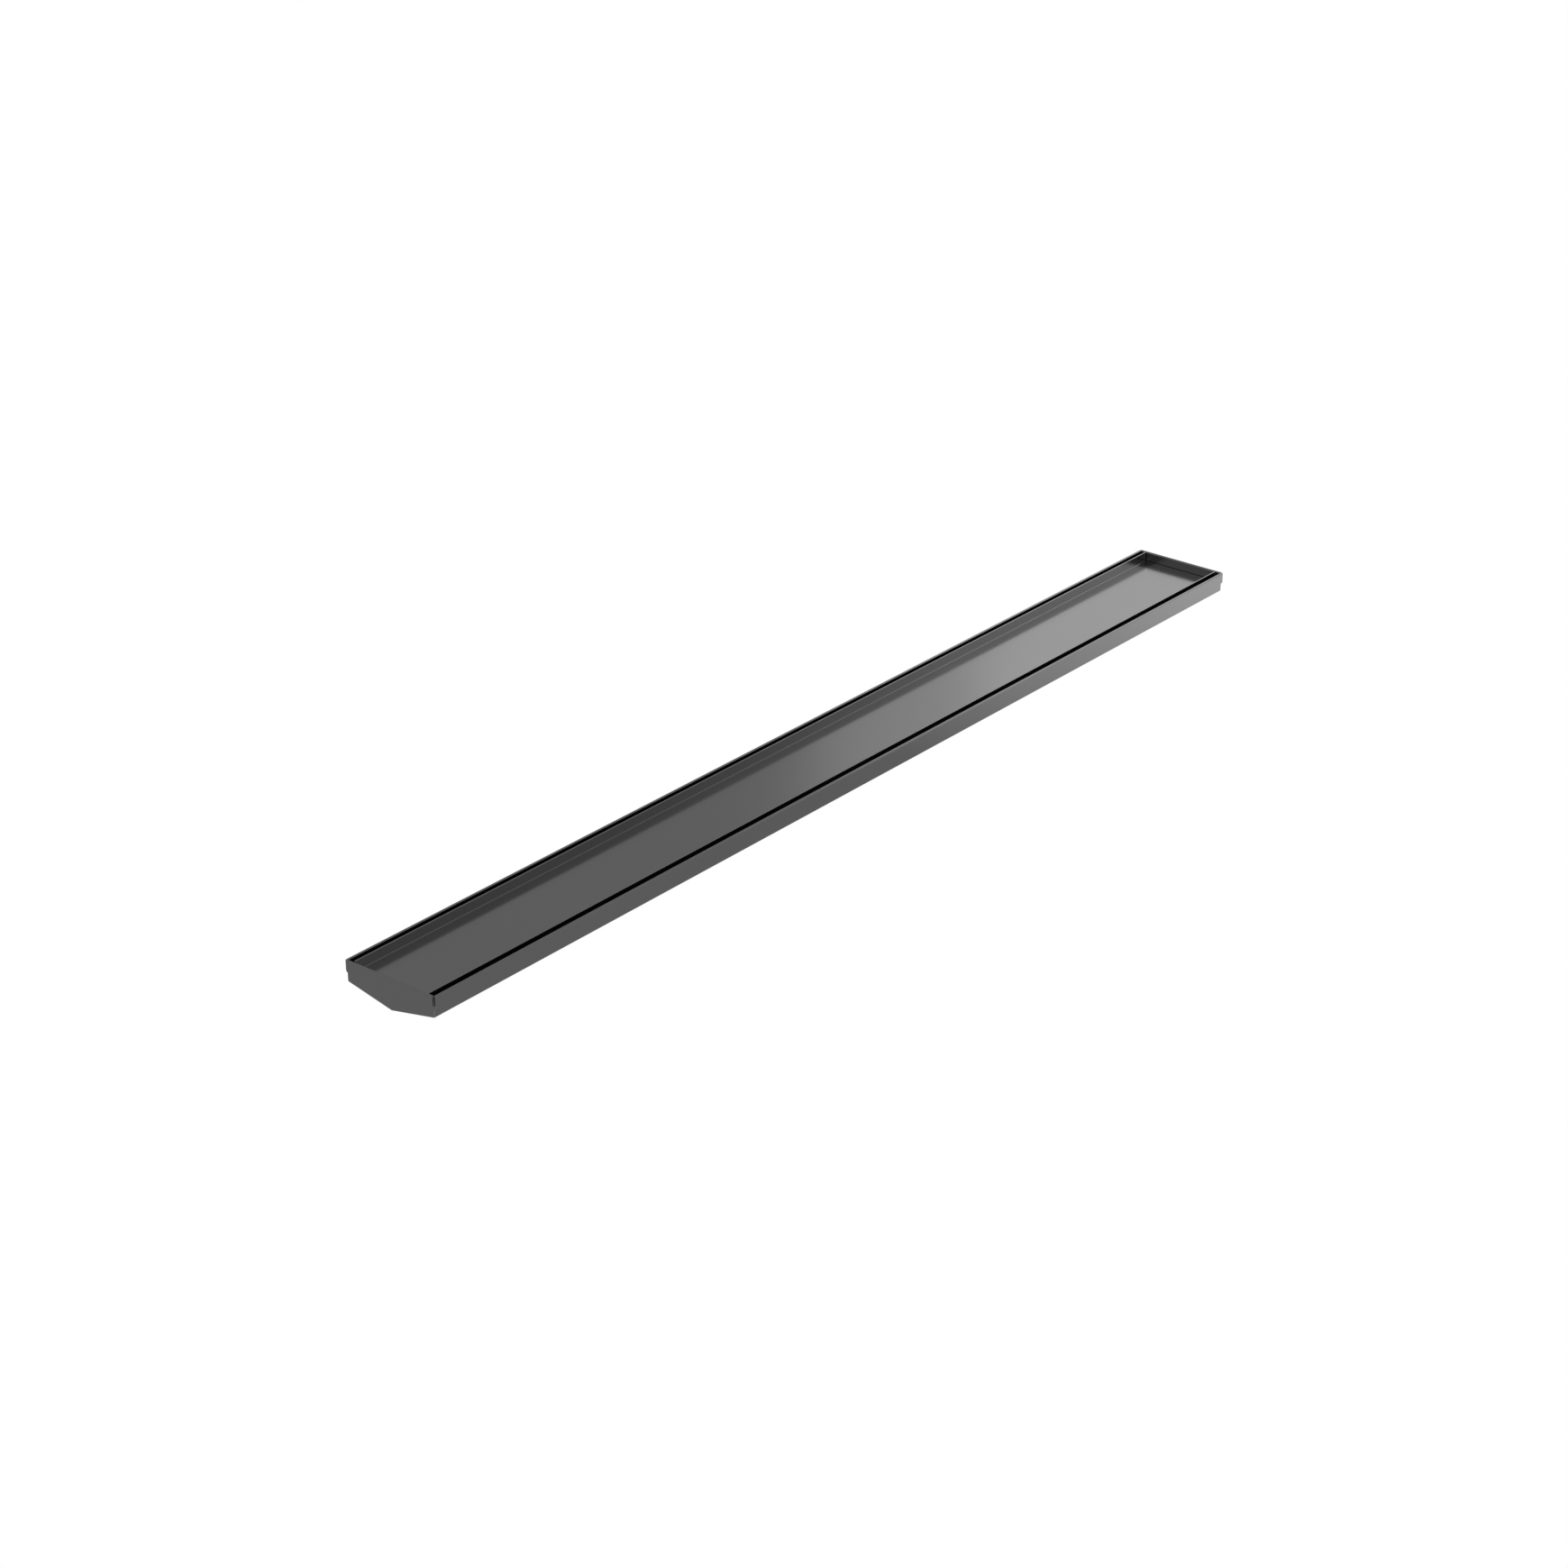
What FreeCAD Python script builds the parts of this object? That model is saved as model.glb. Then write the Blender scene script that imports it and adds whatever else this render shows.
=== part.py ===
"""Channel drain with a recessed tile tray, folded and welded from sheet metal.

The drain is a long trough. Its floor falls from both side walls to a crease along the
middle, and a short outlet spigot is welded under the middle of that crease. The rim is a
closed hem all round: the sheet is folded outward over the top and hangs down the outside.
A shallow tray, open at both ends, takes the floor tile. It stands in the trough on
brackets, level with the rim, and leaves a narrow slot along each side for the water.

Millimetres. X runs along the drain, Y across it and Z up. The origin is the centre of the
spigot's lower rim, which is the lowest point of the drain.
"""

import FreeCAD, Part

import math
import os
import re
from enum import Enum, IntEnum

import Sketcher

# Driving dimensions: alias, value, what it measures.
DRIVING = [
    ("overall_length", 850.0, "over the hems at both ends"),
    ("overall_width", 75.0, "over the hems at both sides"),
    ("wall_height", 14.8, "side wall, from its lower bend to the top of the rim"),
    ("floor_fall", 7.5, "drop of the floor from a side wall to the crease"),
    ("channel_gauge", 0.8, "sheet thickness of the trough and its end plates"),
    ("bend_radius", 0.3, "inside radius of the bends between floor and walls"),
    ("hem_depth", 7.8, "from the top of the rim to the hem's lower edge"),
    ("hem_gap", 0.5, "space left between a wall and its hem"),
    ("end_hem_overlap", 0.45, "how far an end hem reaches past a side wall's inside"),
    ("slot_width", 3.9, "open slot between a side wall and the tray"),
    ("tray_depth", 7.0, "inside depth of the tray"),
    ("tray_gauge", 0.8, "sheet thickness of the tray"),
    ("tray_bend_radius", 0.8, "inside radius of the tray's bends"),
    ("tray_end_clearance", 0.6, "space between the tray's end and an end plate"),
    ("bracket_count", 4, "brackets under the tray"),
    ("bracket_inset", 45.0, "from the drain's end to the middle of the first bracket"),
    ("bracket_length", 20.0, "bracket, along the drain"),
    ("bracket_gauge", 1.5, "sheet thickness of a bracket"),
    ("bracket_bend_radius", 1.0, "inside radius of a bracket's bends"),
    ("bracket_side_clearance", 0.6, "space between a bracket and a side wall"),
    ("spigot_diameter", 40.0, "outside of the outlet spigot"),
    ("spigot_gauge", 1.2, "wall thickness of the outlet spigot"),
    ("spigot_drop", 4.5, "outlet spigot below the crease of the floor"),
]

# Levels, faces and radii worked out from the driving dimensions.
DERIVED = [
    ("crease_level", "=spigot_drop", "underside of the floor at the crease"),
    ("edge_level", "=crease_level + floor_fall", "underside of the floor at a wall"),
    ("rim_level", "=edge_level + wall_height", "top of the rim"),
    ("fold_radius", "=channel_gauge + hem_gap / 2", "outside radius of the hem's fold"),
    ("fold_level", "=rim_level - fold_radius", "axis of the hem's fold"),
    ("hem_foot", "=rim_level - hem_depth", "lower edge of the hem"),
    ("half_width", "=overall_width / 2", "outside of a side hem"),
    ("wall_outer", "=half_width - channel_gauge - hem_gap", "outside of a side wall"),
    ("wall_inner", "=wall_outer - channel_gauge", "inside of a side wall"),
    ("half_length", "=overall_length / 2", "outside of an end hem"),
    ("end_outer", "=half_length - channel_gauge - hem_gap", "outside of an end plate"),
    ("end_inner", "=end_outer - channel_gauge", "inside of an end plate"),
    ("floor_slope", "=floor_fall / wall_outer", "fall of the floor for each millimetre"),
    ("floor_rise", "=channel_gauge * sqrt(1 + floor_slope ^ 2)", "floor's upright thickness"),
    ("floor_top", "=crease_level + floor_rise", "top of the floor at the crease"),
    ("corner_level", "=floor_top + floor_slope * wall_inner", "top of the floor at a wall"),
    ("tray_outer", "=wall_inner - slot_width", "outside of a tray wall"),
    ("tray_inner", "=tray_outer - tray_gauge", "inside of a tray wall"),
    ("tray_floor", "=rim_level - tray_depth", "top of the tray's floor"),
    ("tray_base", "=tray_floor - tray_gauge", "underside of the tray"),
    ("tray_length", "=2 * (end_inner - tray_end_clearance)", "the tray, along the drain"),
    ("bracket_outer", "=wall_inner - bracket_side_clearance", "outside of a bracket leg"),
    ("bracket_inner", "=bracket_outer - bracket_gauge", "inside of a bracket leg"),
    ("bracket_web", "=tray_base - bracket_gauge", "underside of a bracket's web"),
    ("bracket_first", "=bracket_inset - half_length", "middle of the first bracket"),
    ("bracket_pitch", "=-2 * bracket_first / (bracket_count - 1)", "bracket to bracket"),
    ("spigot_radius", "=spigot_diameter / 2", "outside of the spigot"),
    ("outlet_radius", "=spigot_radius - spigot_gauge", "bore of the spigot"),
]

NEAR_ZERO = 1e-9
EDGE_TOLERANCE = 1e-3


class Turn(Enum):
    """How an outline goes on from one corner to the next."""

    STRAIGHT = "straight"
    LEFT = "half round to the left"
    RIGHT = "half round to the right"


class Axis(IntEnum):
    """Sketcher's numbers for a sketch's own axes. Both start at its origin."""

    HORIZONTAL = -1
    VERTICAL = -2


class Point(IntEnum):
    """Sketcher's numbers for the points of an edge."""

    START = 1
    END = 2
    CENTRE = 3


doc = FreeCAD.newDocument("ChannelDrain")


# ---------------------------------------------------------------- sizes
def make_sizes():
    """Put every size in a spreadsheet: its alias, its value or formula and its meaning."""
    sheet = doc.addObject("Spreadsheet::Sheet", "Sizes")
    for row, (alias, content, meaning) in enumerate(DRIVING + DERIVED, start=1):
        sheet.set(f"A{row}", alias)
        sheet.set(f"B{row}", str(content))
        sheet.set(f"C{row}", meaning)
        sheet.setAlias(f"B{row}", alias)
    doc.recompute()
    return sheet


sizes = make_sizes()
ALIASES = {alias for alias, _, _ in DRIVING + DERIVED}


def value(formula):
    """The present value of a formula in the sheet's aliases."""
    return float(sizes.evalExpression(formula))


def bind(target, path, formula):
    """Tie a property of an object to a formula in the sheet's aliases."""
    def with_sheet(word):
        return f"{sizes.Name}.{word[0]}" if word[0] in ALIASES else word[0]

    target.setExpression(path, re.sub(r"[a-z_]+", with_sheet, formula))


# ---------------------------------------------------------------- sketches
def new_sketch(body, name, plane, offset=None):
    """Start a sketch on one of the body's own origin planes, or offset from it."""
    sketch = body.newObject("Sketcher::SketchObject", name)
    support = next(item for item in body.Origin.OriginFeatures if item.Role == plane)
    sketch.AttachmentSupport = [(support, "")]
    sketch.MapMode = "FlatFace"
    if offset:
        bind(sketch, "AttachmentOffset.Base.z", offset)
    return sketch


def pin(sketch, edge, point, across=None, up=None):
    """Hold a point of an edge at a distance across and up from the sketch's origin."""
    places = [("DistanceX", Axis.VERTICAL, across), ("DistanceY", Axis.HORIZONTAL, up)]
    for kind, axis, formula in places:
        if formula is None:
            continue
        distance = value(formula)
        if abs(distance) < NEAR_ZERO:
            sketch.addConstraint(Sketcher.Constraint("PointOnObject", edge, point, axis))
            continue
        ends = (Axis.HORIZONTAL, Point.START, edge, point)
        index = sketch.addConstraint(Sketcher.Constraint(kind, *ends, distance))
        bind(sketch, f"Constraints[{index}]", formula)


def half_round(start, end, turn):
    """The half circle from start to end, and which of its ends each of them is."""
    centre = (start + end) / 2
    first, last = (start, end) if turn is Turn.LEFT else (end, start)
    angle = math.atan2(first.y - centre.y, first.x - centre.x)
    circle = Part.Circle(centre, FreeCAD.Vector(0, 0, 1), (end - start).Length / 2)
    arc = Part.ArcOfCircle(circle, angle, angle + math.pi)
    points = (Point.START, Point.END)
    return arc, points if first is start else points[::-1]


def draw_outline(sketch, corners):
    """Draw a closed outline and pin all of its corners.

    A corner is (across, up, turn): two formulas, and how the outline goes on from there to
    the next corner, which is straight or by a half round to the left or to the right.
    """
    points = [FreeCAD.Vector(value(across), value(up), 0) for across, up, _ in corners]
    ends = []
    for (_, up, turn), here, following in zip(corners, points, points[1:] + points[:1]):
        if turn is Turn.STRAIGHT:
            edge = sketch.addGeometry(Part.LineSegment(here, following), False)
            ends.append((edge, Point.START, Point.END))
            continue
        arc, (first, last) = half_round(here, following, turn)
        edge = sketch.addGeometry(arc, False)
        ends.append((edge, first, last))
        pin(sketch, edge, Point.CENTRE, up=up)
    for (edge, first, _), (before, _, last) in zip(ends, ends[-1:] + ends[:-1]):
        sketch.addConstraint(Sketcher.Constraint("Coincident", before, last, edge, first))
    for (edge, first, _), (across, up, _) in zip(ends, corners):
        pin(sketch, edge, first, across, up)


def mirrored(right):
    """Complete an outline from its right half, which runs from the bottom to the top."""
    on_middle = [abs(value(across)) < NEAR_ZERO for across, _, _ in right]
    last_across, last_up, _ = right[-1]
    top_turn = right[-2][2] if on_middle[-1] else Turn.STRAIGHT
    left = []
    for index in range(len(right) - 1, -1, -1):
        across, up, _ = right[index]
        if not on_middle[index]:
            turn = right[index - 1][2] if index else Turn.STRAIGHT
            left.append((f"-({across})", up, turn))
    return right[:-1] + [(last_across, last_up, top_turn)] + left


def straight(*places):
    """Corners joined by straight edges."""
    return [(across, up, Turn.STRAIGHT) for across, up in places]


def draw_circle(sketch, radius):
    """Draw a circle about the sketch's origin."""
    circle = Part.Circle(FreeCAD.Vector(), FreeCAD.Vector(0, 0, 1), value(radius))
    edge = sketch.addGeometry(circle, False)
    at_origin = (edge, Point.CENTRE, Axis.HORIZONTAL, Point.START)
    sketch.addConstraint(Sketcher.Constraint("Coincident", *at_origin))
    index = sketch.addConstraint(Sketcher.Constraint("Radius", edge, value(radius)))
    bind(sketch, f"Constraints[{index}]", radius)


# ---------------------------------------------------------------- features
def new_body(label):
    """Start a sub-part, which keeps this label as the name of its file."""
    body = doc.addObject("PartDesign::Body", label)
    body.Label = label
    return body


def pad(body, name, sketch, length, symmetric=True):
    """Extrude a sketch along its normal, to both sides of its plane or to one."""
    feature = body.newObject("PartDesign::Pad", name)
    feature.Profile = sketch
    feature.SideType = "Symmetric" if symmetric else "One side"
    bind(feature, "Length", length)
    doc.recompute()
    return feature


def cut_through(body, name, sketch):
    """Cut a sketch right through the body, to both sides of its plane."""
    volume = body.Shape.Volume
    feature = body.newObject("PartDesign::Pocket", name)
    feature.Profile = sketch
    feature.SideType = "Symmetric"
    feature.Type = "ThroughAll"
    doc.recompute()
    if not body.Shape.Volume < volume:
        raise RuntimeError(f"{name} takes nothing away from {body.Label}")
    return feature


def round_bends(body, name, places, radius):
    """Round the edges that run along X through the given places across and up."""
    base = body.Tip
    targets = [(value(across), value(up)) for across, up in places]
    edges = []
    for number, edge in enumerate(base.Shape.Edges, start=1):
        box = edge.BoundBox
        if box.YLength > EDGE_TOLERANCE or box.ZLength > EDGE_TOLERANCE:
            continue
        for across, up in targets:
            if math.hypot(box.Center.y - across, box.Center.z - up) < EDGE_TOLERANCE:
                edges.append(f"Edge{number}")
    if len(edges) != len(targets):
        raise RuntimeError(f"{name} finds {len(edges)} of {len(targets)} edges")
    feature = body.newObject("PartDesign::Fillet", name)
    feature.Base = (base, edges)
    bind(feature, "Radius", radius)
    doc.recompute()
    return feature


def both_sides(across, up):
    """A place and its mirror image across the middle."""
    return [(across, up), (f"-({across})", up)]


# ---------------------------------------------------------------- trough
def make_channel_body():
    """Trough folded from one sheet: sloping floor, side walls and the hems at their tops."""
    body = new_body("channel_body")
    section = new_sketch(body, "channel_section", "YZ_Plane")
    right = [
        ("0", "crease_level", Turn.STRAIGHT),
        ("wall_outer", "edge_level", Turn.STRAIGHT),
        ("wall_outer", "fold_level", Turn.RIGHT),
        ("wall_outer + hem_gap", "fold_level", Turn.STRAIGHT),
        ("wall_outer + hem_gap", "hem_foot", Turn.STRAIGHT),
        ("half_width", "hem_foot", Turn.STRAIGHT),
        ("half_width", "fold_level", Turn.LEFT),
        ("wall_inner", "fold_level", Turn.STRAIGHT),
        ("wall_inner", "corner_level", Turn.STRAIGHT),
        ("0", "floor_top", Turn.STRAIGHT),
    ]
    draw_outline(section, mirrored(right))
    pad(body, "channel_sheet", section, "2 * end_outer")
    round_bends(body, "inside_bends", both_sides("wall_inner", "corner_level"), "bend_radius")
    outside = both_sides("wall_outer", "edge_level")
    round_bends(body, "outside_bends", outside, "bend_radius + channel_gauge")

    outlet = new_sketch(body, "outlet_circle", "XY_Plane")
    draw_circle(outlet, "outlet_radius")
    cut_through(body, "outlet_hole", outlet)
    return body


def make_end_plate(label, turned):
    """End plate set between the walls and on the floor, with a hem folded over its top."""
    body = new_body(label)
    outline = new_sketch(body, f"{label}_outline", "YZ_Plane", "-end_outer")
    right = straight(("0", "floor_top"), ("wall_inner", "corner_level"),
                     ("wall_inner", "fold_level"))
    draw_outline(outline, mirrored(right))
    pad(body, f"{label}_sheet", outline, "channel_gauge", symmetric=False)
    corners = both_sides("wall_inner", "corner_level")
    round_bends(body, f"{label}_corners", corners, "bend_radius")

    fold = new_sketch(body, f"{label}_fold", "XZ_Plane")
    corners = [
        ("-end_inner", "fold_level", Turn.LEFT),
        ("-half_length", "fold_level", Turn.STRAIGHT),
        ("-half_length", "hem_foot", Turn.STRAIGHT),
        ("-end_outer - hem_gap", "hem_foot", Turn.STRAIGHT),
        ("-end_outer - hem_gap", "fold_level", Turn.RIGHT),
        ("-end_outer", "fold_level", Turn.STRAIGHT),
    ]
    draw_outline(fold, corners)
    pad(body, f"{label}_hem", fold, "2 * (wall_inner + end_hem_overlap)")

    # The fold is as wide as the plate where it stands between the walls.
    relief = new_sketch(body, f"{label}_relief", "XY_Plane")
    for side in ("", "-"):
        draw_outline(relief, straight(
            ("-end_outer", f"{side}wall_inner"),
            ("-end_inner", f"{side}wall_inner"),
            ("-end_inner", f"{side}(wall_inner + end_hem_overlap)"),
            ("-end_outer", f"{side}(wall_inner + end_hem_overlap)"),
        ))
    cut_through(body, f"{label}_reliefs", relief)
    if turned:
        about_z = FreeCAD.Rotation(FreeCAD.Vector(0, 0, 1), 180)
        body.Placement = FreeCAD.Placement(FreeCAD.Vector(), about_z)
    return body


def make_outlet_spigot():
    """Short tube welded under the floor, with its top cut to the floor's two slopes."""
    body = new_body("outlet_spigot")
    ring = new_sketch(body, "spigot_ring", "XY_Plane")
    draw_circle(ring, "spigot_radius")
    draw_circle(ring, "outlet_radius")
    pad(body, "spigot_tube", ring, "edge_level", symmetric=False)

    saddle = new_sketch(body, "spigot_saddle", "YZ_Plane")
    right = straight(("0", "crease_level"), ("wall_outer", "edge_level"),
                     ("wall_outer", "rim_level"))
    draw_outline(saddle, mirrored(right))
    cut_through(body, "saddle_cut", saddle)
    return body


# ---------------------------------------------------------------- tile insert
def make_tile_tray():
    """Shallow tray for the tile, folded up along both sides and open at its ends."""
    body = new_body("tile_tray")
    section = new_sketch(body, "tray_section", "YZ_Plane")
    right = straight(("tray_outer", "tray_base"), ("tray_outer", "rim_level"),
                     ("tray_inner", "rim_level"), ("tray_inner", "tray_floor"))
    draw_outline(section, mirrored(right))
    pad(body, "tray_sheet", section, "tray_length")
    inside = both_sides("tray_inner", "tray_floor")
    round_bends(body, "tray_inside_bends", inside, "tray_bend_radius")
    outside = both_sides("tray_outer", "tray_base")
    round_bends(body, "tray_outside_bends", outside, "tray_bend_radius + tray_gauge")
    return body


def make_bracket(index):
    """Bracket welded across the tray's underside, whose two legs stand on the floor."""
    label = f"tray_bracket_{index + 1}"
    body = new_body(label)
    section = new_sketch(body, f"{label}_section", "YZ_Plane")
    right = straight(
        ("bracket_inner", "bracket_web"),
        ("bracket_inner", "floor_top + floor_slope * bracket_inner"),
        ("bracket_outer", "floor_top + floor_slope * bracket_outer"),
        ("bracket_outer", "tray_base"),
    )
    draw_outline(section, mirrored(right))
    pad(body, f"{label}_strip", section, "bracket_length")
    inside = both_sides("bracket_inner", "bracket_web")
    round_bends(body, f"{label}_inside_bends", inside, "bracket_bend_radius")
    outside = both_sides("bracket_outer", "tray_base")
    outside_radius = "bracket_bend_radius + bracket_gauge"
    round_bends(body, f"{label}_outside_bends", outside, outside_radius)
    bind(body, "Placement.Base.x", f"bracket_first + {index} * bracket_pitch")
    return body


def make_sub_parts():
    """Build every sub-part of the drain."""
    sub_parts = [make_channel_body(), make_outlet_spigot(), make_tile_tray()]
    sub_parts.append(make_end_plate("end_plate_left", turned=False))
    sub_parts.append(make_end_plate("end_plate_right", turned=True))
    sub_parts += [make_bracket(index) for index in range(int(value("bracket_count")))]
    return sub_parts


# ---------------------------------------------------------------- checks and files
def check_document(sub_parts):
    """Stop if an object failed, a sketch is loose or a sub-part isn't one valid solid."""
    doc.recompute()
    for item in doc.Objects:
        if "Invalid" in item.State or "Error" in item.State:
            raise RuntimeError(f"{item.Label} failed: {item.State}")
        if item.TypeId == "Sketcher::SketchObject" and not item.FullyConstrained:
            raise RuntimeError(f"{item.Label} isn't fully constrained")
    for body in sub_parts:
        shape = body.Shape
        if shape.isNull() or not shape.isValid() or len(shape.Solids) != 1:
            raise RuntimeError(f"{body.Label} isn't one valid solid")


def export_sub_parts(sub_parts):
    """Write each sub-part to a STEP file of its own."""
    os.makedirs("parts", exist_ok=True)
    for body in sub_parts:
        body.Shape.exportStep(os.path.join("parts", f"{body.Label}.step"))
        print(f"{body.Label}: {body.Shape.Volume:.0f} cubic millimetres")


drain = make_sub_parts()
check_document(drain)
export_sub_parts(drain)
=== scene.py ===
"""Looks of a channel drain with a recessed tile tray, in dark satin sheet metal.

Each piece is folded from flat strip, trimmed, thickened and deburred, as a sheet metal
shop makes it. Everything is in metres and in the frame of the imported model: X runs along
the drain, Y across it and Z up, and the outlet's lower rim is at the origin.
"""

import logging
import math
from collections.abc import Callable, Iterable
from dataclasses import dataclass, replace
from enum import Enum, IntEnum

import bmesh
import bpy
from bmesh.types import BMEdge, BMesh, BMFace, BMVert
from mathutils import Matrix, Vector


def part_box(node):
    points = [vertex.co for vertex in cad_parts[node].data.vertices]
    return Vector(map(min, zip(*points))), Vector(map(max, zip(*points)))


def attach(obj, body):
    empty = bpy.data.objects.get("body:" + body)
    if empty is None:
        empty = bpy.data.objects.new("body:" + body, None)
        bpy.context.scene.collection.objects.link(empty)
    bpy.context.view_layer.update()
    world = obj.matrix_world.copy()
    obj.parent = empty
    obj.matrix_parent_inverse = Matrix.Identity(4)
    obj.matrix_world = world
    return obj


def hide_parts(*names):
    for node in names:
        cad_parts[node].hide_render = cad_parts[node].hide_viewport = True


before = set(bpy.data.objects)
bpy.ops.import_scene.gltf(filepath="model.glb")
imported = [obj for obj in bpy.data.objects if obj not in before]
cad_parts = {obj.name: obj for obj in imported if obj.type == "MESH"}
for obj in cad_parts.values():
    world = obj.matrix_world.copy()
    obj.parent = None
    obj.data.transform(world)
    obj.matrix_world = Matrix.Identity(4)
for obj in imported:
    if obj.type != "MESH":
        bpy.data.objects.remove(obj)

LOG = logging.getLogger("channel_drain")
BODY = "root"

X, Y, Z = Vector((1, 0, 0)), Vector((0, 1, 0)), Vector((0, 0, 1))
HALF_TURN = math.pi
QUARTER_TURN = HALF_TURN / 2
FULL_TURN = 2 * HALF_TURN
WELD_DISTANCE = 1e-6
BEND_STEPS = 8
FOLD_STEPS = 2 * BEND_STEPS
ROUND_STEPS = 96
SHARP_ANGLE = math.radians(50)
# A face looks along an axis when its unit normal has more than this of the axis, and it
# is square to the axis when it has more than the second.
LOOKS_ALONG = 0.5
IS_SQUARE_TO = 0.9
NORMAL_WEIGHT = 100
WHITE = (1.0, 1.0, 1.0, 1.0)
# Face attribute for edge wear and a painted highlight on rounded and sheared edges.
BARE_EDGE_AND_HIGHLIGHT = "bare_edge_and_highlight"

Place = tuple[float, float, float]


class Side(Enum):
    """A long side of the drain, by its sign along Y."""

    LEFT = 1.0
    RIGHT = -1.0


class DrainEnd(Enum):
    """An end of the drain, by its sign along X."""

    LEFT = -1.0
    RIGHT = 1.0


class Grain(Enum):
    """Which way the sheet was brushed: the stretch of its grain along X, Y and Z."""

    ALONG = (0.02, 1.0, 1.0)
    ACROSS = (1.0, 0.02, 1.0)
    ROUND = (1.0, 1.0, 0.1)


class Coat(IntEnum):
    """Material slot of a face: the satin face of the sheet, or the near-black face inside,
    which is painted shade.
    """

    SATIN = 0
    MATT = 1


# ---------------------------------------------------------------- sizes from the model
@dataclass(frozen=True)
class Levels:
    """Faces and levels of the drain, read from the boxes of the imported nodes."""

    half_length: float
    end_outer: float
    end_inner: float
    half_width: float
    wall_inner: float
    end_hem_half: float
    rim: float
    crease: float
    floor_top: float
    floor_slope: float

    @classmethod
    def from_frame(cls, floor_fall: float = 0.0075) -> "Levels":
        """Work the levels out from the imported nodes.

        Args:
            floor_fall: drop of the floor from a side wall to the crease.

        Returns:
            The levels, in metres.
        """
        trough_low, trough_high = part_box("channel_body")
        plate_low, plate_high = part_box("end_plate_left")
        end_outer, end_inner = trough_high.x, -plate_high.x
        wall_outer = trough_high.y - (-plate_low.x - end_outer)
        return cls(
            half_length=-plate_low.x,
            end_outer=end_outer,
            end_inner=end_inner,
            half_width=trough_high.y,
            wall_inner=wall_outer - (end_outer - end_inner),
            end_hem_half=plate_high.y,
            rim=trough_high.z,
            crease=trough_low.z,
            floor_top=plate_low.z,
            floor_slope=floor_fall / wall_outer,
        )

    @property
    def gauge(self) -> float:
        """Thickness of the sheet of the trough and its end plates."""
        return self.end_outer - self.end_inner

    @property
    def fold_radius(self) -> float:
        """Outside radius of the hem's fold."""
        return (self.half_width - self.wall_inner) / 2

    @property
    def fold_level(self) -> float:
        """Level of the axis that the hem is folded about."""
        return self.rim - self.fold_radius

    def floor_at(self, across: float) -> float:
        """Top of the trough's floor at a distance from its middle."""
        return self.floor_top + self.floor_slope * abs(across)


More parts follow.
